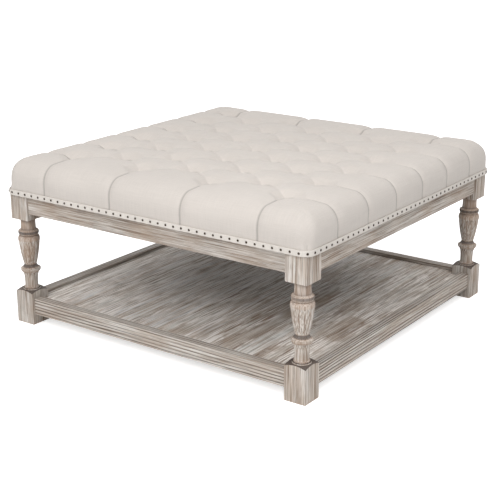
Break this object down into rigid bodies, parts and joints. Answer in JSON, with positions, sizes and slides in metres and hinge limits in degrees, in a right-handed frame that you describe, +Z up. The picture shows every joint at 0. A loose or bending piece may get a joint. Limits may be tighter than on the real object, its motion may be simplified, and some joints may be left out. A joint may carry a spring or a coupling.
{
  "type": "ottoman coffee table",
  "caption": "Square coffee table with a button-tufted cushion top, turned legs and a boarded lower shelf.",
  "frame": {"origin": "on the floor, under the middle of the table", "axes": "+Z up, +X to the right, the front faces -Y"},
  "size_m": [0.9724, 0.9724, 0.4685],
  "materials": {
    "weathered_wood": "wire-brushed and whitewashed solid wood, weathered grey-brown",
    "shelf_wood": "wire-brushed boards with whitewash left in the grain",
    "hidden_wood": "plain sawn wood",
    "plywood": "plywood",
    "linen": "plain-woven linen, off-white",
    "band_linen": "folded strip of the same linen",
    "aged_bronze": "dark oxidised nail heads",
    "zinc_steel": "zinc-plated steel",
    "foam": "upholstery foam",
    "twine": "waxed tufting twine",
    "dust_cloth": "black spun cloth"
  },
  "bodies": {
    "root": {"apron_back": "weathered_wood", "apron_front": "weathered_wood", "apron_left": "weathered_wood", "apron_right": "weathered_wood", "band_nails": "aged_bronze", "button_twines": "twine", "corner_block_back_left": "hidden_wood", "corner_block_back_right": "hidden_wood", "corner_block_front_left": "hidden_wood", "corner_block_front_right": "hidden_wood", "cover_buttons": "linen", "deck_screws": "zinc_steel", "dust_cover": "dust_cloth", "leg_back_left": "weathered_wood", "leg_back_right": "weathered_wood", "leg_bolts": "zinc_steel", "leg_front_left": "weathered_wood", "leg_front_right": "weathered_wood", "nail_band": "band_linen", "seat_deck": "plywood", "seat_foam": "foam", "shelf_batten_1": "hidden_wood", "shelf_batten_2": "hidden_wood", "shelf_board_01": "shelf_wood", "shelf_board_02": "shelf_wood", "shelf_board_03": "shelf_wood", "shelf_board_04": "shelf_wood", "shelf_board_05": "shelf_wood", "shelf_board_06": "shelf_wood", "shelf_board_07": "shelf_wood", "shelf_board_08": "shelf_wood", "shelf_board_09": "shelf_wood", "shelf_board_10": "shelf_wood", "shelf_board_11": "shelf_wood", "shelf_board_12": "shelf_wood", "shelf_board_13": "shelf_wood", "shelf_cleat_back": "hidden_wood", "shelf_cleat_front": "hidden_wood", "shelf_cleat_left": "hidden_wood", "shelf_cleat_right": "hidden_wood", "shelf_rail_back": "weathered_wood", "shelf_rail_front": "weathered_wood", "shelf_rail_left": "weathered_wood", "shelf_rail_right": "weathered_wood", "tufted_cover": "linen"}
  },
  "joints": []
}
